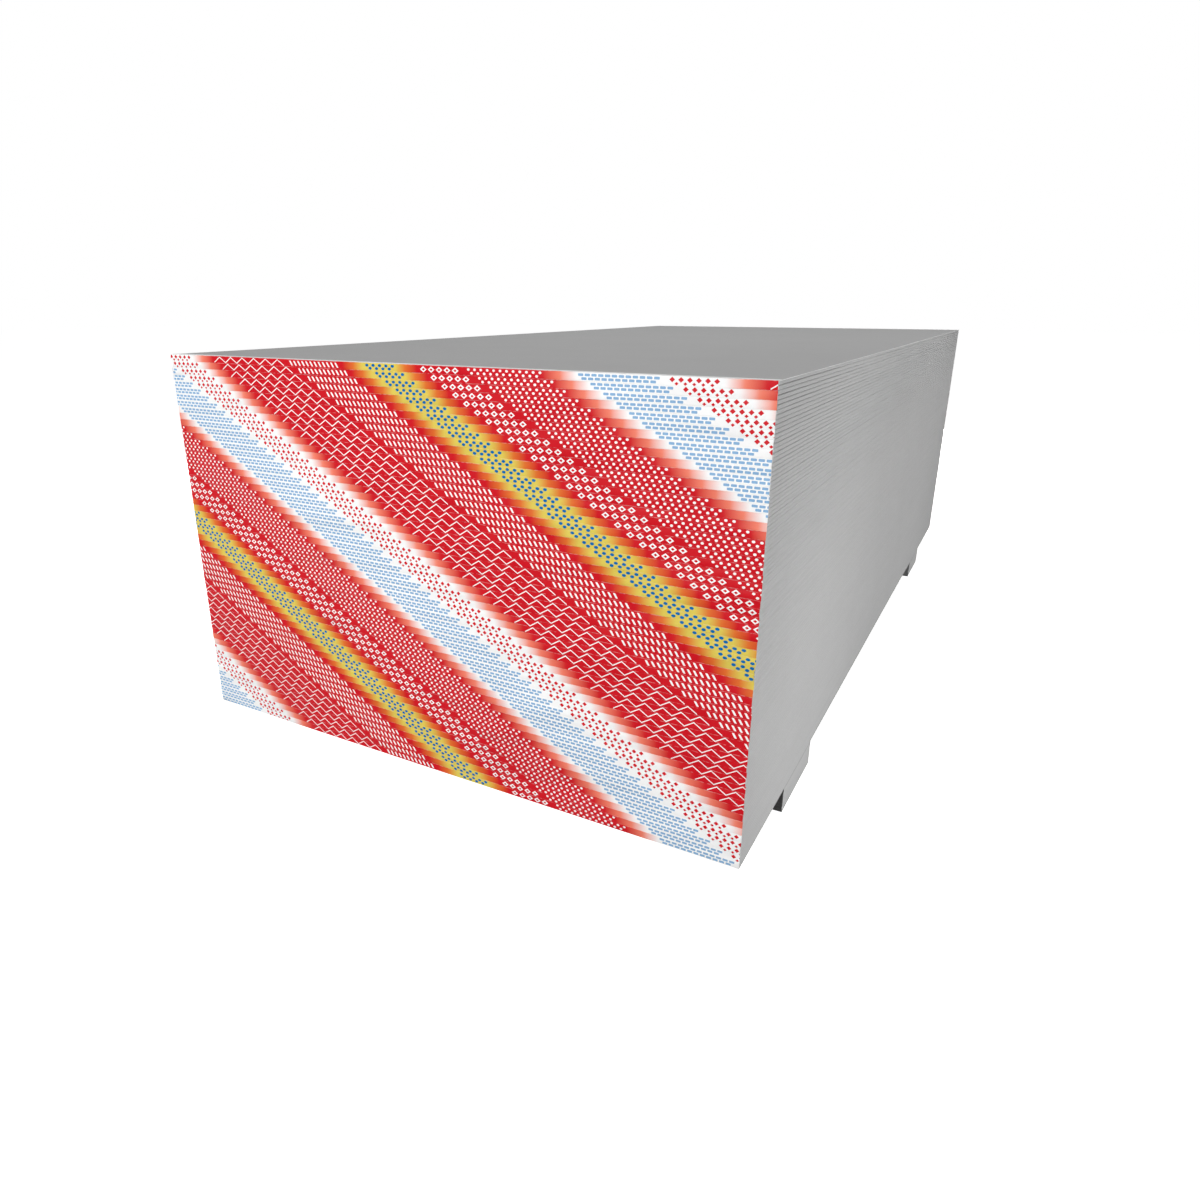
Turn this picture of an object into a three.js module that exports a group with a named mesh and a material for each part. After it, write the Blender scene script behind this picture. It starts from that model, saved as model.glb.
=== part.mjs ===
import * as THREE from 'three';

// A stack of quarter inch drywall sheets, taped at the ends in pairs, on two risers. Sizes are millimetres.
// X runs across the sheets, Y runs along them from the front end to the back end, and Z = 0 is the floor.

// One sheet
const sheetWidth = 1219.2;
const sheetLength = 2438.4;
const sheetPitch = 6.35;
const layerGap = 0.1;
const backCornerRadius = 1.4;
const faceCornerRadius = 1.0;
const taperWidth = 50;
const taperDepth = 0.5;
const cornerSteps = 3;

// The stack
const bundleCount = 60;
const sheetsInBundle = 2;
const looseBundles = 2;
const bundlesInBlock = 2;

// The paper tape that wraps each end of a bundle
const tapeThickness = 0.4;
const tapeClearance = 0.1;
const tapeSeamRadius = 0.3;
const tapeFoldRadius = 0.5;
const tapeLap = 19;

// The risers, each glued up from strips of board
const riserHeight = 50.8;
const riserLength = 203.2;
const riserPlies = 8;
const riserSeamDepth = 0.8;
const riserSeamHalf = 0.4;
const frontRiserSetback = 264;
const backRiserSetback = 352;

const bundlePitch = sheetPitch * sheetsInBundle;
const sheetThickness = sheetPitch - layerGap;
const quarterTurn = Math.PI / 2;

const boardPaper = new THREE.MeshStandardMaterial({ color: '#b4b4b2', roughness: 0.9, metalness: 0 });
const printedTape = new THREE.MeshStandardMaterial({ color: '#d2403c', roughness: 0.55, metalness: 0 });
const riserBoard = new THREE.MeshStandardMaterial({ color: '#a9a9a7', roughness: 0.9, metalness: 0 });

const lift = new THREE.Group();

function arc(centreX, centreY, radius, startAngle, endAngle) {
  const points = [];
  for (let step = 0; step <= cornerSteps; step += 1) {
    const angle = startAngle + ((endAngle - startAngle) * step) / cornerSteps;
    points.push(new THREE.Vector2(centreX + radius * Math.cos(angle), centreY + radius * Math.sin(angle)));
  }
  return points;
}

function extrude(points, depth) {
  return new THREE.ExtrudeGeometry(new THREE.Shape(points), { depth, bevelEnabled: false, steps: 1 });
}

// The right-hand edge of a sheet that lies face up, from its back to the inner end of the face's taper.
function sheetEdge() {
  const edge = sheetWidth / 2;
  const backCentre = edge - backCornerRadius;
  const faceCentre = edge - faceCornerRadius;
  return [
    ...arc(backCentre, backCornerRadius, backCornerRadius, -quarterTurn, 0),
    ...arc(faceCentre, sheetThickness - taperDepth - faceCornerRadius, faceCornerRadius, 0, quarterTurn),
    new THREE.Vector2(edge - taperWidth, sheetThickness),
  ];
}

// The same edge turned over, for the sheet whose face looks down on its partner's.
function turnedEdge() {
  return sheetEdge()
    .map((point) => new THREE.Vector2(point.x, sheetThickness - point.y))
    .reverse();
}

// Sheets that follow each other up the stack, as one solid with the gaps cut into its long edges.
function addSheets(name, firstSheet, count) {
  const rightSide = [];
  for (let layer = 0; layer < count; layer += 1) {
    const faceUp = (firstSheet + layer) % sheetsInBundle === 0;
    const edge = faceUp ? sheetEdge() : turnedEdge();
    edge.forEach((point) => rightSide.push(new THREE.Vector2(point.x, point.y + layer * sheetPitch)));
  }
  const leftSide = rightSide.map((point) => new THREE.Vector2(-point.x, point.y)).reverse();
  const mesh = new THREE.Mesh(extrude([...rightSide, ...leftSide], sheetLength), boardPaper);
  mesh.name = name;
  mesh.rotation.x = quarterTurn;
  mesh.position.set(0, sheetLength / 2, riserHeight + firstSheet * sheetPitch + layerGap / 2);
  lift.add(mesh);
}

// The section of the tapes round one end of some bundles: x points out of the end and y points up.
// Inner tapes show only their faces and folds; the lowest and the highest also lap over the sheets.
function tapeSection(firstBundle, lastBundle) {
  const outside = tapeClearance + tapeThickness;
  const seamCentre = outside - tapeSeamRadius;
  const foldCentre = outside - tapeFoldRadius;
  const section = [];
  for (let bundle = firstBundle; bundle <= lastBundle; bundle += 1) {
    const low = bundle * bundlePitch + layerGap / 2;
    const high = (bundle + 1) * bundlePitch - layerGap / 2;
    if (bundle === 0) {
      const lapOutside = low - outside;
      section.push(new THREE.Vector2(tapeClearance, low - tapeClearance));
      section.push(new THREE.Vector2(-tapeLap, low - tapeClearance));
      section.push(new THREE.Vector2(-tapeLap, lapOutside));
      section.push(...arc(foldCentre, lapOutside + tapeFoldRadius, tapeFoldRadius, -quarterTurn, 0));
    } else {
      if (bundle === firstBundle) section.push(new THREE.Vector2(tapeClearance, low));
      section.push(...arc(seamCentre, low + tapeSeamRadius, tapeSeamRadius, -quarterTurn, 0));
    }
    if (bundle === bundleCount - 1) {
      const lapOutside = high + outside;
      section.push(...arc(foldCentre, lapOutside - tapeFoldRadius, tapeFoldRadius, 0, quarterTurn));
      section.push(new THREE.Vector2(-tapeLap, lapOutside));
      section.push(new THREE.Vector2(-tapeLap, high + tapeClearance));
      section.push(new THREE.Vector2(tapeClearance, high + tapeClearance));
    } else {
      section.push(...arc(seamCentre, high - tapeSeamRadius, tapeSeamRadius, 0, quarterTurn));
      if (bundle === lastBundle) section.push(new THREE.Vector2(tapeClearance, high));
    }
  }
  return section;
}

// outward is -1 at the front end and 1 at the back end.
function addTapes(name, outward, firstBundle, lastBundle) {
  const mesh = new THREE.Mesh(extrude(tapeSection(firstBundle, lastBundle), sheetWidth), printedTape);
  mesh.name = name;
  mesh.rotation.set(quarterTurn, 0, outward * quarterTurn, 'ZYX');
  mesh.position.set(-outward * (sheetWidth / 2), outward * (sheetLength / 2), riserHeight);
  lift.add(mesh);
}

// A block across the whole stack, with a fine seam round it between each two plies.
function addRiser(name, frontEdge) {
  const plyHeight = (riserHeight - layerGap / 2) / riserPlies;
  const farSide = [];
  for (let ply = 0; ply < riserPlies; ply += 1) {
    const low = ply * plyHeight;
    const high = low + plyHeight;
    if (ply > 0) farSide.push(new THREE.Vector2(riserLength / 2, low + riserSeamHalf));
    else farSide.push(new THREE.Vector2(riserLength / 2, low));
    if (ply < riserPlies - 1) {
      farSide.push(new THREE.Vector2(riserLength / 2, high - riserSeamHalf));
      farSide.push(new THREE.Vector2(riserLength / 2 - riserSeamDepth, high));
    } else {
      farSide.push(new THREE.Vector2(riserLength / 2, high));
    }
  }
  const nearSide = farSide.map((point) => new THREE.Vector2(-point.x, point.y)).reverse();
  const mesh = new THREE.Mesh(extrude([...farSide, ...nearSide], sheetWidth), riserBoard);
  mesh.name = name;
  mesh.rotation.set(quarterTurn, 0, quarterTurn, 'ZYX');
  mesh.position.set(-sheetWidth / 2, frontEdge + riserLength / 2, 0);
  lift.add(mesh);
}

const sheetNumber = (index) => String(index + 1).padStart(3, '0');
const bundleNumber = (index) => String(index + 1).padStart(2, '0');

// Risers
addRiser('front_riser', -sheetLength / 2 + frontRiserSetback);
addRiser('back_riser', sheetLength / 2 - backRiserSetback - riserLength);

// Sheets: blocks of two bundles up to the two at the top, whose sheets are solids of their own.
const blockedBundles = bundleCount - looseBundles;
const sheetsInBlock = bundlesInBlock * sheetsInBundle;
for (let bundle = 0; bundle < blockedBundles; bundle += bundlesInBlock) {
  const first = bundle * sheetsInBundle;
  addSheets(`sheets_${sheetNumber(first)}_to_${sheetNumber(first + sheetsInBlock - 1)}`, first, sheetsInBlock);
}
for (let sheet = blockedBundles * sheetsInBundle; sheet < bundleCount * sheetsInBundle; sheet += 1) {
  addSheets(`sheet_${sheetNumber(sheet)}`, sheet, 1);
}

// End tapes
[['front', -1], ['back', 1]].forEach(([end, outward]) => {
  addTapes(`${end}_end_tapes_01_to_${bundleNumber(blockedBundles - 1)}`, outward, 0, blockedBundles - 1);
  for (let bundle = blockedBundles; bundle < bundleCount; bundle += 1) {
    addTapes(`${end}_end_tape_${bundleNumber(bundle)}`, outward, bundle, bundle);
  }
});

export default lift;
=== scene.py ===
import math
import random

import bmesh
import bpy
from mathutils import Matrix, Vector


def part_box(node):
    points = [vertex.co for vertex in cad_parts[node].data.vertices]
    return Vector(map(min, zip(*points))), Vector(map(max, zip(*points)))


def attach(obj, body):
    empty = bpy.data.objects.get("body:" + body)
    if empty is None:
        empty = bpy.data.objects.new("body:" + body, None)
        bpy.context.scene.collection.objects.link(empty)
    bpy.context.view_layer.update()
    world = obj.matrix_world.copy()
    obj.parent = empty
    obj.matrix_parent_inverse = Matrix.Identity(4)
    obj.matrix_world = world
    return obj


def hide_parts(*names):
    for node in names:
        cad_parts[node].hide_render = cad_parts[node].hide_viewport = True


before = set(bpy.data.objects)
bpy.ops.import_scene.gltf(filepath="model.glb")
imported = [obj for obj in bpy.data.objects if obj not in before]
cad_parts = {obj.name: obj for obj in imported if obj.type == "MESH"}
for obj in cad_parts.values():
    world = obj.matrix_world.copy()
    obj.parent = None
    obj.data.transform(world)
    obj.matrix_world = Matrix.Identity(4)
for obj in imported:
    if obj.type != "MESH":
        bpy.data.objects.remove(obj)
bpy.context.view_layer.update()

mm = 0.001
smoothingAngle = math.radians(32)  # edges that turn by less are shaded smooth
paperShine = 0.12  # paper is almost without gloss

# The frame: X runs across the sheets, Y along them from the front end to the back, and the floor is z = 0.
topLow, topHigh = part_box("sheet_120")
sheetPitch = topLow.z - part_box("sheet_119")[0].z
sheetWidth, sheetLength, sheetThickness = topHigh - topLow
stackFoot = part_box("sheets_001_to_004")[0].z
stackTop = topHigh.z
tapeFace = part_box("front_end_tape_60")[0].y  # the outer face of the front end's tapes
bundlePitch = 2 * sheetPitch  # two sheets lie in each bundle, face to face
bundleCount = round((stackTop - stackFoot) / bundlePitch)
draws = random.Random(11)


# A colour picked on the screen, 0 to 255, as the linear one that Blender's sockets hold.
def screenColour(red, green, blue):
    def linear(level):
        share = level / 255
        return share / 12.92 if share <= 0.04045 else ((share + 0.055) / 1.055) ** 2.4
    return (linear(red), linear(green), linear(blue), 1)


# Working on meshes, as by hand

def makeActive(item):
    for other in bpy.context.selected_objects:
        other.select_set(False)
    item.select_set(True)
    bpy.context.view_layer.objects.active = item


def startEditing(item):
    makeActive(item)
    bpy.ops.object.mode_set(mode="EDIT")
    bpy.ops.mesh.select_all(action="SELECT")


def stopEditing():
    bpy.ops.object.mode_set(mode="OBJECT")


def pickVerts(item, test):
    bpy.ops.mesh.select_mode(type="VERT")
    bpy.ops.mesh.select_all(action="DESELECT")
    mesh = bmesh.from_edit_mesh(item.data)
    for vert in mesh.verts:
        vert.select_set(test(vert.co))
    mesh.select_flush_mode()
    bmesh.update_edit_mesh(item.data)


def pickEdges(item, test):
    bpy.ops.mesh.select_mode(type="EDGE")
    bpy.ops.mesh.select_all(action="DESELECT")
    mesh = bmesh.from_edit_mesh(item.data)
    for edge in mesh.edges:
        edge.select_set(test(edge.verts[0].co, edge.verts[1].co))
    bmesh.update_edit_mesh(item.data)


def cutAcross(axis, places):
    normal = Vector((0, 0, 0))
    normal[axis] = 1
    for place in places:
        bpy.ops.mesh.select_all(action="SELECT")
        bpy.ops.mesh.bisect(plane_co=normal * place, plane_no=normal)


def evenPlaces(span, count):
    return [span * (step / count - 0.5) for step in range(1, count)]


# Cuts near both ends, so that smooth shading rounds a bevel and leaves the face beside it flat.
def holdFlat(axis, size, middle, inset):
    cutAcross(axis, [middle - (size / 2 - inset), middle + (size / 2 - inset)])


def roundOff(radius, steps):
    bpy.ops.mesh.bevel(offset=radius, segments=steps, profile=0.5, affect="EDGES")


def addBlock(name, size, centre):
    bpy.ops.mesh.primitive_cube_add(size=1, location=centre)
    block = bpy.context.object
    block.name = name
    block.scale = size
    makeActive(block)
    bpy.ops.object.transform_apply(location=True, rotation=True, scale=True)
    return block


def copyTo(template, name, place, turn=(0, 0, 0)):
    item = template.copy()
    item.data = template.data.copy()
    item.name = name
    bpy.context.scene.collection.objects.link(item)
    item.location = place
    item.rotation_euler = turn
    makeActive(item)
    bpy.ops.object.transform_apply(location=True, rotation=True, scale=True)
    return item


def roughenEdges(item, amount, seed, test):
    startEditing(item)
    pickVerts(item, test)
    bpy.ops.transform.vertex_random(offset=amount, uniform=1, normal=0, seed=seed)
    stopEditing()


def joinAs(items, name):
    makeActive(items[0])
    for item in items:
        item.select_set(True)
    if len(items) > 1:
        bpy.ops.object.join()
    items[0].name = name
    items[0].data.name = name
    return items[0]


def finishPiece(piece, node, material):
    piece.data.materials.clear()
    piece.data.materials.append(material)
    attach(piece, "root")
    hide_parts(node)


# Working on node trees

def addNode(tree, kind, inputs=None, **settings):
    made = tree.nodes.new(kind)
    for setting, value in settings.items():
        setattr(made, setting, value)
    for key, value in (inputs or {}).items():
        if isinstance(value, bpy.types.NodeSocket):
            tree.links.new(value, made.inputs[key])
        else:
            made.inputs[key].default_value = value
    return made


def calc(tree, operation, *values):
    return addNode(tree, "ShaderNodeMath", dict(enumerate(values)), operation=operation).outputs[0]


def blendColours(tree, factor, first, second):
    inputs = {0: factor, 6: first, 7: second}  # 6 and 7 are its two colour sockets
    return addNode(tree, "ShaderNodeMix", inputs, data_type="RGBA").outputs[2]


def shadeColour(tree, colour, amount):
    inputs = {0: colour, 3: amount}  # 3 is the scale
    return addNode(tree, "ShaderNodeVectorMath", inputs, operation="SCALE").outputs[0]


def smoothBetween(tree, value, low, high):
    inputs = {"Value": value, "From Min": low, "From Max": high}
    return addNode(tree, "ShaderNodeMapRange", inputs, interpolation_type="SMOOTHSTEP").outputs[0]


def noiseOn(tree, place, scale, detail=2.0):
    inputs = {"Vector": place, "Scale": scale, "Detail": detail}
    return addNode(tree, "ShaderNodeTexNoise", inputs).outputs["Fac"]


def stretched(tree, place, scale):
    inputs = {0: place, 1: scale}
    return addNode(tree, "ShaderNodeVectorMath", inputs, operation="MULTIPLY").outputs[0]


def newGroup(name, inputs, outputs):
    group = bpy.data.node_groups.new(name, "ShaderNodeTree")
    for label, kind, value in inputs:
        socket = group.interface.new_socket(label, in_out="INPUT", socket_type=kind)
        if value is not None:
            socket.default_value = value
    for label, kind in outputs:
        group.interface.new_socket(label, in_out="OUTPUT", socket_type=kind)
    return group, group.nodes.new("NodeGroupInput").outputs, group.nodes.new("NodeGroupOutput").inputs


def newMaterial(name):
    material = bpy.data.materials.new(name)
    material.use_nodes = True
    tree = material.node_tree
    tree.nodes.clear()
    surface = addNode(tree, "ShaderNodeBsdfPrincipled")
    surface.inputs["Specular IOR Level"].default_value = paperShine
    addNode(tree, "ShaderNodeOutputMaterial", {"Surface": surface.outputs[0]})
    place = addNode(tree, "ShaderNodeTexCoord").outputs["Object"]
    return material, tree, surface.inputs, place


def addBump(tree, surface, height, strength, depth):
    bump = addNode(tree, "ShaderNodeBump", {"Height": height, "Strength": strength, "Distance": depth})
    tree.links.new(bump.outputs[0], surface["Normal"])


# Paper made from recycled fibre: clouds, streaks along the machine, and dark and pale flecks

pulpLook = {
    "cloudScale": 6.5,  # like the next two, about how many there are to a metre
    "fibreScale": (520, 70, 520),
    "speckScale": 760,
    "darkSpecks": (0.66, 0.72),  # the noise levels between which a dark fleck fades in
    "paleSpecks": (0.36, 0.3),
    "speckHeight": 0.4,
    "roughness": 0.86,
    "roughnessSpread": 0.12,
}


def makePulpGroup():
    group, given, result = newGroup(
        "recycledPaper",
        [("Place", "NodeSocketVector", None), ("Base", "NodeSocketColor", None),
         ("Clouds", "NodeSocketFloat", 0.06), ("Streaks", "NodeSocketFloat", 0.04),
         ("Flecks", "NodeSocketFloat", 0.1)],
        [("Color", "NodeSocketColor"), ("Height", "NodeSocketFloat"), ("Roughness", "NodeSocketFloat")])
    clouds = calc(group, "SUBTRACT", noiseOn(group, given["Place"], pulpLook["cloudScale"], 4), 0.5)
    fibres = noiseOn(group, stretched(group, given["Place"], pulpLook["fibreScale"]), 1, 3)
    streaks = calc(group, "SUBTRACT", fibres, 0.5)
    specks = noiseOn(group, given["Place"], pulpLook["speckScale"], 1)
    darkSpecks = smoothBetween(group, specks, *pulpLook["darkSpecks"])
    paleSpecks = smoothBetween(group, specks, *pulpLook["paleSpecks"])
    darkFlecks = calc(group, "MULTIPLY", darkSpecks, given["Flecks"])
    paleFlecks = calc(group, "MULTIPLY", paleSpecks, given["Flecks"])
    tone = calc(group, "MULTIPLY_ADD", clouds, given["Clouds"], 1)
    tone = calc(group, "MULTIPLY_ADD", streaks, given["Streaks"], tone)
    tone = calc(group, "SUBTRACT", tone, darkFlecks)
    tone = calc(group, "ADD", tone, paleFlecks)
    group.links.new(shadeColour(group, given["Base"], tone), result["Color"])
    height = calc(group, "ADD", fibres, calc(group, "MULTIPLY", specks, pulpLook["speckHeight"]))
    group.links.new(height, result["Height"])
    rough = calc(group, "MULTIPLY_ADD", streaks, pulpLook["roughnessSpread"], pulpLook["roughness"])
    group.links.new(rough, result["Roughness"])
    return group


pulpGroup = makePulpGroup()


def addPulp(tree, place, base, look):
    inputs = {"Place": place, "Base": base,
              "Clouds": look["clouds"], "Streaks": look["streaks"], "Flecks": look["flecks"]}
    return addNode(tree, "ShaderNodeGroup", inputs, node_tree=pulpGroup).outputs


# Drywall sheets

sheetLook = {
    "slip": 0.08 * mm,  # how far a sheet may lie to the left or right of the others
    "backRound": 1.0 * mm,
    "backSteps": 4,
    "faceRound": 1.0 * mm,
    "faceSteps": 3,
    "taperWidth": 50 * mm,
    "taperDrop": 0.1 * mm,
    "holdInset": 4 * mm,
    "stations": 16,  # lengths between which a long edge may waver
    "unevenness": 0.05 * mm,
    "unevenBand": 3 * mm,
    "edgeWidth": 3 * mm,
    "paper": screenColour(182, 182, 182),
    "edgeHighlightPaper": screenColour(195, 195, 195),  # painted paler: a painted highlight on the side faces and along the long edges
    "foldWidth": 24 * mm,  # the face paper's lap on the back of the sheet
    "foldFade": 0.4 * mm,
    "foldStep": 3,  # its height, against that of the paper's fibres
    "paintedHighlight": 0.12,  # painted highlight: how much paler the corners that face up are painted
    "highlightSlope": (0.1, 0.4),
    "topHighlight": 0.38,  # and how much more so on the sheet that lies open
    "topBand": (3 * mm, 2 * mm),
    "paintedJointShade": 0.66,  # painted shade: how much darker the joints of the upper sheets near both ends are painted
    "shadedSlope": (-0.05, -0.3),
    "shadeReach": (0.6, 0.19),  # how far it goes, from an end and from the top of the stack
    "toneSpread": 0.02,  # from sheet to sheet
    "clouds": 0.07,
    "streaks": 0.07,
    "flecks": 0.12,
    "bumpStrength": 0.35,
    "bumpDepth": 0.06 * mm,
}


def modelSheet():
    width = sheetWidth - 2 * (sheetLook["slip"] + sheetLook["unevenness"])
    sheet = addBlock("sheetTemplate", (width, sheetLength, sheetThickness), (0, 0, sheetThickness / 2))
    nearly = 0.1 * mm
    side = width / 2 - nearly
    end = sheetLength / 2 - nearly
    middle = sheetThickness / 2
    faceEdge = sheetThickness - 1.5 * sheetLook["taperDrop"]  # just below the lowered edge of the face
    startEditing(sheet)
    holdFlat(0, width, 0, sheetLook["taperWidth"])
    pickVerts(sheet, lambda at: abs(at.x) > side and at.z > middle)
    bpy.ops.transform.translate(value=(0, 0, -sheetLook["taperDrop"]))

    def onRim(a, b):
        return (abs(a.x) > side and abs(b.x) > side) or (abs(a.y) > end and abs(b.y) > end)

    pickEdges(sheet, lambda a, b: onRim(a, b) and a.z < middle and b.z < middle)
    roundOff(sheetLook["backRound"], sheetLook["backSteps"])
    pickEdges(sheet, lambda a, b: onRim(a, b) and min(a.z, b.z) > faceEdge)
    roundOff(sheetLook["faceRound"], sheetLook["faceSteps"])
    cutAcross(1, evenPlaces(sheetLength, sheetLook["stations"]))
    holdFlat(0, width, 0, sheetLook["holdInset"])
    holdFlat(1, sheetLength, 0, sheetLook["holdInset"])
    stopEditing()
    bpy.ops.object.shade_smooth_by_angle(angle=smoothingAngle)
    return sheet


def makeBoardMaterial():
    material, tree, surface, place = newMaterial("boardPaper")
    at = addNode(tree, "ShaderNodeSeparateXYZ", {0: place}).outputs
    inFromEdge = calc(tree, "SUBTRACT", sheetWidth / 2, calc(tree, "ABSOLUTE", at["X"]))
    # the side faces and a band along the long edges are painted paler, as a painted highlight
    onEdge = smoothBetween(tree, inFromEdge, sheetLook["edgeWidth"], 0.2 * sheetLook["edgeWidth"])
    base = blendColours(tree, onEdge, sheetLook["paper"], sheetLook["edgeHighlightPaper"])

    # painted highlight on the corners that face up, stronger on the open top sheet
    normal = addNode(tree, "ShaderNodeNewGeometry").outputs["True Normal"]
    facing = addNode(tree, "ShaderNodeSeparateXYZ", {0: normal}).outputs
    slope = calc(tree, "MULTIPLY", calc(tree, "ABSOLUTE", facing["X"]), facing["Z"])
    highlightedCorner = smoothBetween(tree, slope, *sheetLook["highlightSlope"])
    onTop = smoothBetween(tree, at["Z"], *[stackTop - depth for depth in sheetLook["topBand"]])
    paintedHighlight = calc(tree, "MULTIPLY_ADD", onTop, sheetLook["topHighlight"], sheetLook["paintedHighlight"])
    base = shadeColour(tree, base, calc(tree, "MULTIPLY_ADD", highlightedCorner, paintedHighlight, 1))

    # painted shade in the joints, on the corners that face down
    reachAlong, reachDown = sheetLook["shadeReach"]
    toMiddle = calc(tree, "ABSOLUTE", at["Y"])
    nearEnd = smoothBetween(tree, toMiddle, sheetLength / 2 - reachAlong, sheetLength / 2)
    nearTop = smoothBetween(tree, at["Z"], stackTop - reachDown, stackTop)
    paintedShadeBand = smoothBetween(tree, slope, *sheetLook["shadedSlope"])
    jointShadeMask = calc(tree, "MULTIPLY", calc(tree, "MULTIPLY", nearEnd, nearTop), paintedShadeBand)
    base = shadeColour(tree, base, calc(tree, "MULTIPLY_ADD", jointShadeMask, -sheetLook["paintedJointShade"], 1))

    # each sheet a little paler or darker than the next
    layers = calc(tree, "DIVIDE", calc(tree, "SUBTRACT", at["Z"], stackFoot), sheetPitch)
    layer = calc(tree, "FLOOR", layers)
    draw = addNode(tree, "ShaderNodeTexWhiteNoise", {"W": layer}, noise_dimensions="1D").outputs["Value"]
    spread = sheetLook["toneSpread"]
    base = shadeColour(tree, base, calc(tree, "MULTIPLY_ADD", draw, spread, 1 - spread / 2))

    pulp = addPulp(tree, place, base, sheetLook)
    tree.links.new(pulp["Color"], surface["Base Color"])
    tree.links.new(pulp["Roughness"], surface["Roughness"])
    foldWidth = sheetLook["foldWidth"]
    folded = smoothBetween(tree, inFromEdge, foldWidth + sheetLook["foldFade"], foldWidth)
    height = calc(tree, "MULTIPLY_ADD", folded, sheetLook["foldStep"], pulp["Height"])
    addBump(tree, surface, height, sheetLook["bumpStrength"], sheetLook["bumpDepth"])
    return material


def makeSheets(boardMaterial):
    faceUp = modelSheet()
    faceDown = copyTo(faceUp, "turnedTemplate", (0, 0, sheetThickness), (0, math.pi, 0))
    side = sheetWidth / 2 - sheetLook["unevenBand"]
    for node in sorted(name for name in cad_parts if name.startswith("sheet")):
        numbers = [int(word) for word in node.split("_") if word.isdigit()]
        sheets = []
        for number in range(numbers[0], numbers[-1] + 1):
            template = faceUp if number % 2 else faceDown
            slip = draws.uniform(-1, 1) * sheetLook["slip"]
            height = stackFoot + (number - 1) * sheetPitch
            sheet = copyTo(template, f"sheet{number}", (slip, 0, height))
            roughenEdges(sheet, sheetLook["unevenness"], number, lambda at: abs(at.x) > side)
            sheets.append(sheet)
        finishPiece(joinAs(sheets, f"paper_faced_{node}"), node, boardMaterial)
    for template in (faceUp, faceDown):
        bpy.data.objects.remove(template)
    print("sheets laid")


# End tapes

tapeLook = {
    "thickness": 0.2 * mm,
    "foldRound": 0.5 * mm,
    "foldSteps": 4,
    "hiddenLap": 0.9 * mm,  # where bundles lie on each other
    "lap": 19 * mm,  # on the top and the underside of the stack
    "lapRise": 0.25 * mm,  # from the sheet under a lap to the lap's outer face
    "slip": 0.7 * mm,  # how far a tape may lie to the left or right of the others
    "stations": 24,  # lengths between which the paper may waver
    "unevenness": 0.1 * mm,
    "clouds": 0.03,
    "streaks": 0.03,
    "flecks": 0.015,
    "bareFrom": (1.6 * mm, 2.0 * mm),  # a lap is bare paper from here on in
    "foldBand": (5.3, 6.3),  # where the ink gets rubbed, in millimetres from the tape's middle line
    "rub": 0.25,
    "scuffScale": (180, 180, 700),
    "scuffLevels": (0.42, 0.62),
    "rippleScale": (34, 34, 90),
    "rippleHeight": 5,
    "bumpStrength": 0.3,
    "bumpDepth": 0.05 * mm,
    "roughness": 0.46,
    "bareRoughness": 0.3,  # and this much rougher where bare
    "scuffRoughness": 0.12,
}


def modelStrip(height, lapAbove, lapBelow):
    width = sheetWidth - 2 * (tapeLook["slip"] + tapeLook["unevenness"])
    face = tapeFace + tapeLook["unevenness"]
    bpy.ops.mesh.primitive_plane_add(size=1, location=(0, face, height / 2), rotation=(math.pi / 2, 0, 0))
    strip = bpy.context.object
    strip.scale = (width, height, 1)
    makeActive(strip)
    bpy.ops.object.transform_apply(location=True, rotation=True, scale=True)
    nearly = 0.01 * mm
    startEditing(strip)
    for level, lap in ((height, lapAbove), (0, lapBelow)):
        pickEdges(strip, lambda a, b: abs(a.z - level) < nearly and abs(b.z - level) < nearly)
        bpy.ops.mesh.extrude_edges_move(TRANSFORM_OT_translate={"value": (0, lap, 0)})
    pickEdges(strip, lambda a, b: a.y < face + nearly and b.y < face + nearly and a.z == b.z)
    roundOff(tapeLook["foldRound"], tapeLook["foldSteps"])
    cutAcross(0, evenPlaces(width, tapeLook["stations"]))
    stopEditing()
    thicken = strip.modifiers.new("paper", "SOLIDIFY")
    thicken.thickness = tapeLook["thickness"]
    thicken.offset = -1
    bpy.ops.object.modifier_apply(modifier=thicken.name)
    bpy.ops.object.shade_smooth_by_angle(angle=smoothingAngle)
    return strip


# The print: ground colours and rows of small shapes that repeat along each tape, in millimetres along it.
printLook = {
    "period": 1080,
    "shiftPerTape": 21,  # each tape's print starts this far to the left of the one below it
    "jitter": 0.7,  # how far along and how far up or down a print may stray
    "drop": 0.25,
    "white": screenColour(247, 247, 247),
    "red": screenColour(202, 15, 30),
    "salmon": screenColour(238, 128, 104),
    "orange": screenColour(220, 108, 44),
    "yellow": screenColour(220, 200, 88),
    "blue": screenColour(0, 102, 168),
    "lightBlue": screenColour(134, 176, 214),
}
# The start of each ground colour, and its name
groundStops = [
    (0, "white"), (226, "white"), (254, "salmon"), (284, "red"), (618, "red"), (642, "orange"),
    (664, "yellow"), (734, "yellow"), (756, "orange"), (780, "red"), (1020, "red"), (1050, "salmon"),
    (1079, "white"),
]
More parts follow.
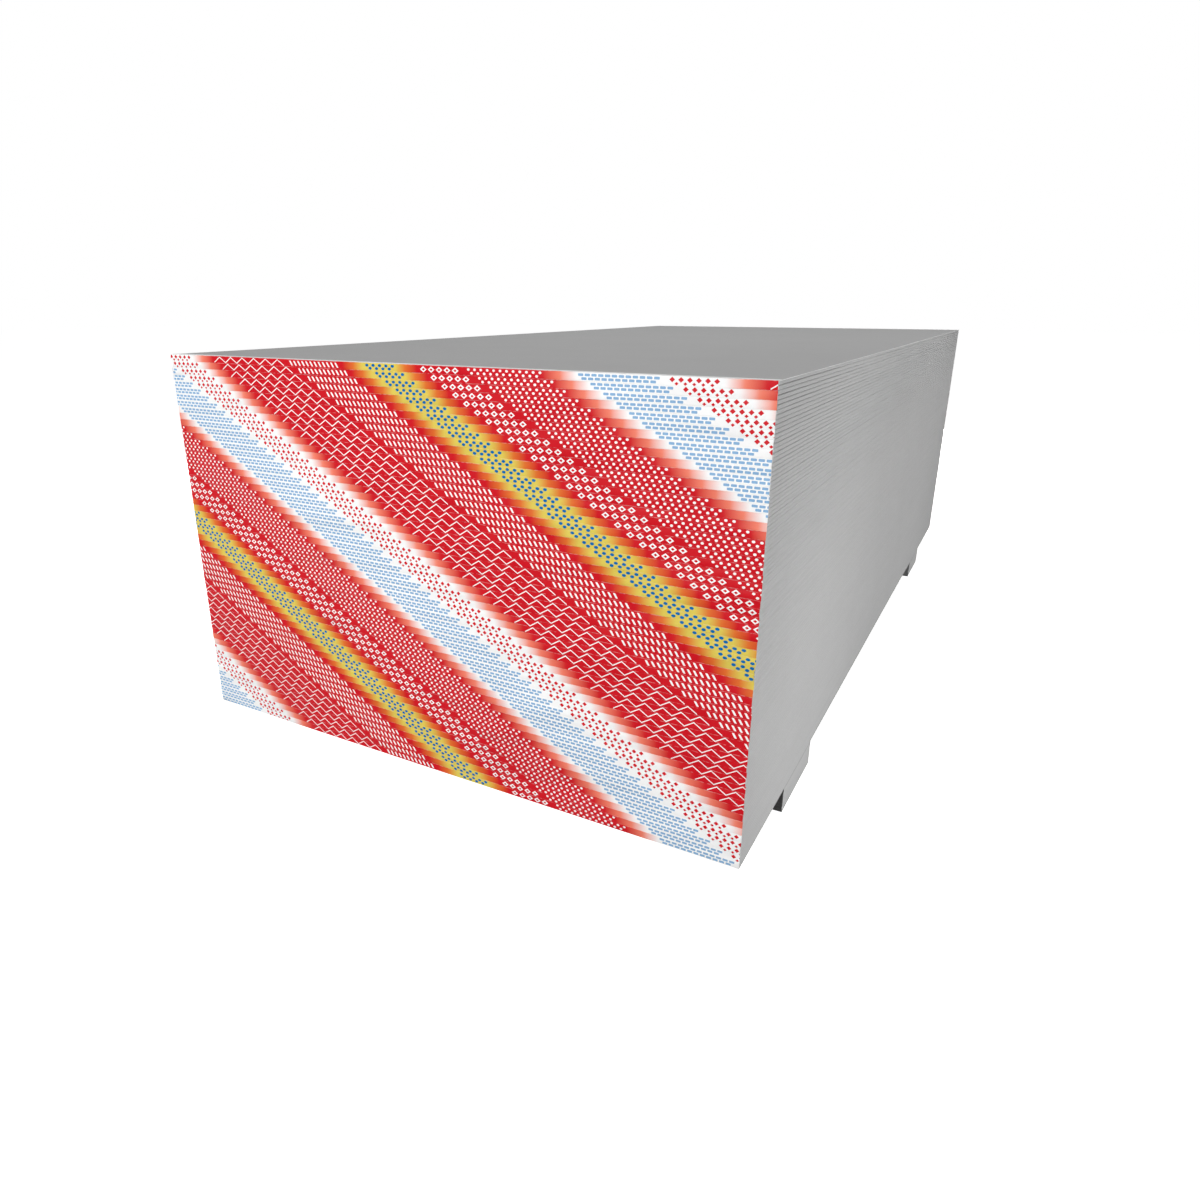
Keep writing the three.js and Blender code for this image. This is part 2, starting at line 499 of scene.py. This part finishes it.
# Rows of stamps: start and stop along the tape, pitch, height above its middle line, half width and half
# height, power, lean and ink. Power 1 makes a diamond, 2 an ellipse and 6 a soft-cornered bar.
stampRows = [
    (0, 132, 11, 2.7, (4.3, 1.9), 6, 0, "lightBlue"),
    (5.5, 126.5, 11, -2.7, (4.3, 1.9), 6, 0, "lightBlue"),
    (143, 221, 13, 1.8, (4.2, 3.8), 1, 0, "red"),
    (149.5, 214.5, 13, -3.6, (3.0, 2.4), 1, 0, "red"),
    (488, 608, 10, 0, (2.0, 4.2), 6, 0.6, "white"),
    (666, 736, 14, 2.4, (3.6, 2.5), 2, 0, "blue"),
    (673, 729, 14, -2.4, (3.6, 2.5), 2, 0, "blue"),
    (786, 866, 16, 0, (6.8, 5.0), 1, 0, "white"),
    (786, 866, 16, 0, (3.2, 2.3), 1, 0, "red"),
    (878, 1022, 12, 2.8, (2.5, 2.0), 2, 0, "white"),
    (884, 1016, 12, -2.8, (2.5, 2.0), 2, 0, "white"),
]
zigzag = {"start": 288, "stop": 474, "pitch": 31, "rise": 5.0, "half": 1.0}


def insideSpan(tree, along, start, stop):
    after = calc(tree, "GREATER_THAN", along, start)
    return calc(tree, "MULTIPLY", after, calc(tree, "LESS_THAN", along, stop))


def stampMask(tree, along, up, row):
    start, stop, pitch, middle, (halfWidth, halfHeight), power, lean, _ = row
    level = calc(tree, "SUBTRACT", up, middle)
    leaning = calc(tree, "MULTIPLY_ADD", level, lean, along)
    fromMiddle = calc(tree, "PINGPONG", calc(tree, "SUBTRACT", leaning, start + pitch / 2), pitch / 2)
    wide = calc(tree, "POWER", calc(tree, "DIVIDE", fromMiddle, halfWidth), power)
    tall = calc(tree, "DIVIDE", calc(tree, "ABSOLUTE", level), halfHeight)
    tall = calc(tree, "POWER", tall, power)
    shape = calc(tree, "LESS_THAN", calc(tree, "ADD", wide, tall), 1)
    return calc(tree, "MULTIPLY", shape, insideSpan(tree, leaning, start, stop))


def zigzagMask(tree, along, up):
    swing = calc(tree, "PINGPONG", calc(tree, "SUBTRACT", along, zigzag["start"]), zigzag["pitch"] / 2)
    line = calc(tree, "MULTIPLY_ADD", swing, 4 * zigzag["rise"] / zigzag["pitch"], -zigzag["rise"])
    offLine = calc(tree, "ABSOLUTE", calc(tree, "SUBTRACT", up, line))
    near = calc(tree, "LESS_THAN", offLine, zigzag["half"])
    return calc(tree, "MULTIPLY", near, insideSpan(tree, along, zigzag["start"], zigzag["stop"]))


def addPrint(tree, along, up):
    ramp = addNode(tree, "ShaderNodeValToRGB", {"Fac": calc(tree, "DIVIDE", along, printLook["period"])})
    stops = ramp.color_ramp.elements
    while len(stops) < len(groundStops):
        stops.new(1)
    for stop, (start, ink) in zip(stops, groundStops):
        stop.position = start / printLook["period"]
        stop.color = printLook[ink]
    printed = ramp.outputs["Color"]
    printed = blendColours(tree, zigzagMask(tree, along, up), printed, printLook["white"])
    for row in stampRows:
        printed = blendColours(tree, stampMask(tree, along, up, row), printed, printLook[row[-1]])
    return printed


def makeTapeMaterial():
    material, tree, surface, place = newMaterial("printedTape")
    at = addNode(tree, "ShaderNodeSeparateXYZ", {0: place}).outputs
    bundles = calc(tree, "DIVIDE", calc(tree, "SUBTRACT", at["Z"], stackFoot), bundlePitch)
    row = calc(tree, "MINIMUM", calc(tree, "MAXIMUM", calc(tree, "FLOOR", bundles), 0), bundleCount - 1)
    draw = addNode(tree, "ShaderNodeTexWhiteNoise", {"W": row}, noise_dimensions="1D").outputs["Color"]
    draw = addNode(tree, "ShaderNodeSeparateColor", {0: draw}).outputs
    inBundle = calc(tree, "SUBTRACT", bundles, row)
    up = calc(tree, "MULTIPLY", calc(tree, "SUBTRACT", inBundle, 0.5), bundlePitch / mm)
    drop = calc(tree, "MULTIPLY_ADD", draw[1], 2 * printLook["drop"], -printLook["drop"])
    across = calc(tree, "DIVIDE", calc(tree, "ADD", at["X"], sheetWidth / 2), mm)
    across = calc(tree, "MULTIPLY_ADD", row, printLook["shiftPerTape"], across)
    across = calc(tree, "MULTIPLY_ADD", draw[0], printLook["jitter"], across)
    along = calc(tree, "MODULO", across, printLook["period"])
    printed = addPrint(tree, along, calc(tree, "ADD", up, drop))

    # bare paper on the laps, and rubbed ink along the folds
    inFromEnd = calc(tree, "SUBTRACT", -tapeFace, calc(tree, "ABSOLUTE", at["Y"]))
    onLap = smoothBetween(tree, inFromEnd, *tapeLook["bareFrom"])
    nearFold = smoothBetween(tree, calc(tree, "ABSOLUTE", up), *tapeLook["foldBand"])
    scuffs = noiseOn(tree, stretched(tree, place, tapeLook["scuffScale"]), 1, 4)
    rubbed = calc(tree, "MULTIPLY", nearFold, smoothBetween(tree, scuffs, *tapeLook["scuffLevels"]))
    bare = calc(tree, "MAXIMUM", onLap, calc(tree, "MULTIPLY", rubbed, tapeLook["rub"]))
    colour = blendColours(tree, bare, printed, printLook["white"])
    pulp = addPulp(tree, place, colour, tapeLook)
    tree.links.new(pulp["Color"], surface["Base Color"])
    ripples = noiseOn(tree, stretched(tree, place, tapeLook["rippleScale"]), 1, 2)
    height = calc(tree, "MULTIPLY_ADD", ripples, tapeLook["rippleHeight"], pulp["Height"])
    addBump(tree, surface, height, tapeLook["bumpStrength"], tapeLook["bumpDepth"])
    rough = calc(tree, "MULTIPLY_ADD", bare, tapeLook["bareRoughness"], tapeLook["roughness"])
    rough = calc(tree, "MULTIPLY_ADD", scuffs, tapeLook["scuffRoughness"], rough)
    tree.links.new(rough, surface["Roughness"])
    return material


def makeTapes(tapeMaterial):
    plainHeight = bundlePitch - (sheetPitch - sheetThickness)
    rise = tapeLook["lapRise"]
    plain = modelStrip(plainHeight, tapeLook["hiddenLap"], tapeLook["hiddenLap"])
    highest = modelStrip(plainHeight + rise, tapeLook["lap"], tapeLook["hiddenLap"])
    lowest = modelStrip(plainHeight + rise, tapeLook["hiddenLap"], tapeLook["lap"])
    for node in sorted(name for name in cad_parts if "_end_tape" in name):
        turn = (0, 0, 0 if node.startswith("front") else math.pi)
        numbers = [int(word) for word in node.split("_") if word.isdigit()]
        strips = []
        for number in range(numbers[0], numbers[-1] + 1):
            template = {1: lowest, bundleCount: highest}.get(number, plain)
            slip = draws.uniform(-1, 1) * tapeLook["slip"]
            height = stackFoot + (number - 1) * bundlePitch - (rise if number == 1 else 0)
            strip = copyTo(template, f"strip{number}", (slip, 0, height), turn)
            roughenEdges(strip, tapeLook["unevenness"], number, lambda at: True)
            strips.append(strip)
        finishPiece(joinAs(strips, f"printed_{node}"), node, tapeMaterial)
    for template in (plain, highest, lowest):
        bpy.data.objects.remove(template)
    print("end tapes wrapped")


# Risers

riserLook = {
    "plies": 8,
    "edgeRound": 0.4 * mm,
    "edgeSteps": 3,
    "holdInset": 1.5 * mm,
    "slip": 0.2 * mm,  # how far a ply may lie out of line with the others
    "paper": screenColour(198, 198, 198),
    "jointShade": 0.2,  # painted shade: how much darker the riser is in the joint under the stack
    "jointWidth": 2.4 * mm,
    "clouds": 0.08,
    "streaks": 0.07,
    "flecks": 0.09,
    "bumpStrength": 0.4,
    "bumpDepth": 0.06 * mm,
}


def makeRiserMaterial():
    material, tree, surface, place = newMaterial("riserPaper")
    height = addNode(tree, "ShaderNodeSeparateXYZ", {0: place}).outputs["Z"]
    # painted shade along the top of the riser, just under the stack
    jointFoot = stackFoot - riserLook["jointWidth"]
    paintedShadeBand = smoothBetween(tree, height, jointFoot, jointFoot + 0.5 * riserLook["jointWidth"])
    amount = calc(tree, "MULTIPLY_ADD", paintedShadeBand, -riserLook["jointShade"], 1)
    base = shadeColour(tree, riserLook["paper"][:3], amount)
    pulp = addPulp(tree, place, base, riserLook)
    tree.links.new(pulp["Color"], surface["Base Color"])
    tree.links.new(pulp["Roughness"], surface["Roughness"])
    addBump(tree, surface, pulp["Height"], riserLook["bumpStrength"], riserLook["bumpDepth"])
    return material


def makeRisers(riserMaterial):
    for node in ("front_riser", "back_riser"):
        low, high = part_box(node)
        slip = riserLook["slip"]
        size = high - low
        plyHeight = size.z / riserLook["plies"]
        plySize = (size.x - 2 * slip, size.y - 2 * slip, plyHeight)
        plies = []
        for count in range(riserLook["plies"]):
            centre = (low + high) / 2
            centre.x += draws.uniform(-1, 1) * slip
            centre.y += draws.uniform(-1, 1) * slip
            centre.z = low.z + (count + 0.5) * plyHeight
            ply = addBlock(f"ply{count}", plySize, centre)
            startEditing(ply)
            roundOff(riserLook["edgeRound"], riserLook["edgeSteps"])
            holdFlat(0, plySize[0], centre.x, riserLook["holdInset"])
            holdFlat(1, plySize[1], centre.y, riserLook["holdInset"])
            stopEditing()
            bpy.ops.object.shade_smooth_by_angle(angle=smoothingAngle)
            plies.append(ply)
        finishPiece(joinAs(plies, f"glued_{node}"), node, riserMaterial)
    print("risers glued up")


# Floor, light and camera

studio = {
    "worldLevel": 0.095,
    "floorSize": 60,
    "floorBounce": 0.12,  # the floor's gray as the object sees it
    "floorShow": 0.912,  # its own glow as the camera sees it
    "floorShade": 0.95,  # and the gray that takes the shadow there
}
lamps = [
    # name, place, target, size across and along, watts
    ("frontLamp", (-0.2, -4.8, 1.5), (0, -1.2, 0.4), (1.6, 1.3), 139),
    ("topLamp", (-0.4, 0.8, 4.0), (0, 0, 0.8), (3.0, 3.0), 57),
    ("rimLamp", (3.4, 0.1, 3.4), (0.6, 0.1, 0.5), (4.0, 1.6), 32),
    ("sideLamp", (3.0, 0.4, 0.35), (0.6, 0.3, 0.35), (1.8, 0.5), 24.6),
    ("nearLamp", (1.6, -0.91, 0.3), (0.6, -1.33, 0.3), (0.08, 0.5), 3.9),
    ("leftLamp", (-3.6, 0.4, 0.42), (-0.6, 0.4, 0.42), (2.6, 0.6), 75),
    ("backLamp", (0, 4.6, 0.42), (0, 1.2, 0.42), (1.6, 0.6), 107),
]
view = {
    "sensor": 36,
    "place": (0.9043, -2.3084, 0.9083),
    "turn": (70.933, 0.030, 29.328),
    "lens": 24.617,
    "shift": (0.0281, -0.0111),
}


def seenDirectly(tree):
    path = addNode(tree, "ShaderNodeLightPath").outputs
    seen = calc(tree, "MAXIMUM", path["Is Camera Ray"], path["Is Glossy Ray"])
    return calc(tree, "MAXIMUM", seen, path["Is Transmission Ray"])


def makeStage():
    bpy.ops.mesh.primitive_plane_add(size=studio["floorSize"], location=(0, 0, 0))
    floor = bpy.context.object
    floor.name = "floor"
    material = bpy.data.materials.new("floorWhite")
    material.use_nodes = True
    tree = material.node_tree
    tree.nodes.clear()
    dim = addNode(tree, "ShaderNodeBsdfDiffuse", {"Color": (*[studio["floorBounce"]] * 3, 1)})
    shaded = addNode(tree, "ShaderNodeBsdfDiffuse", {"Color": (*[studio["floorShade"]] * 3, 1)})
    glow = addNode(tree, "ShaderNodeEmission", {"Strength": studio["floorShow"]})
    shown = addNode(tree, "ShaderNodeAddShader", {0: shaded.outputs[0], 1: glow.outputs[0]})
    inputs = {0: seenDirectly(tree), 1: dim.outputs[0], 2: shown.outputs[0]}
    mixed = addNode(tree, "ShaderNodeMixShader", inputs)
    addNode(tree, "ShaderNodeOutputMaterial", {"Surface": mixed.outputs[0]})
    floor.data.materials.append(material)

    world = bpy.data.worlds.new("studio")
    world.use_nodes = True
    tree = world.node_tree
    tree.nodes.clear()
    white = (1, 1, 1, 1)
    soft = addNode(tree, "ShaderNodeBackground", {"Color": white, "Strength": studio["worldLevel"]})
    bright = addNode(tree, "ShaderNodeBackground", {"Color": white, "Strength": 1})
    inputs = {0: seenDirectly(tree), 1: soft.outputs[0], 2: bright.outputs[0]}
    mixed = addNode(tree, "ShaderNodeMixShader", inputs)
    addNode(tree, "ShaderNodeOutputWorld", {"Surface": mixed.outputs[0]})
    bpy.context.scene.world = world
    for name, place, target, size, watts in lamps:
        data = bpy.data.lights.new(name, "AREA")
        data.shape = "RECTANGLE"
        data.size, data.size_y = size
        data.energy = watts
        lamp = bpy.data.objects.new(name, data)
        bpy.context.scene.collection.objects.link(lamp)
        lamp.location = place
        lamp.rotation_euler = (Vector(target) - Vector(place)).to_track_quat("-Z", "Y").to_euler()
    print("floor and lamps set")


def makeCamera():
    data = bpy.data.cameras.new("camera")
    data.sensor_width = view["sensor"]
    data.lens = view["lens"]
    data.shift_x, data.shift_y = view["shift"]
    camera = bpy.data.objects.new("camera", data)
    bpy.context.scene.collection.objects.link(camera)
    camera.location = view["place"]
    camera.rotation_euler = [math.radians(angle) for angle in view["turn"]]
    bpy.context.scene.camera = camera
    print("camera set")


makeCamera()
makeSheets(makeBoardMaterial())
makeTapes(makeTapeMaterial())
makeRisers(makeRiserMaterial())
makeStage()
bpy.context.scene.view_settings.view_transform = "Standard"
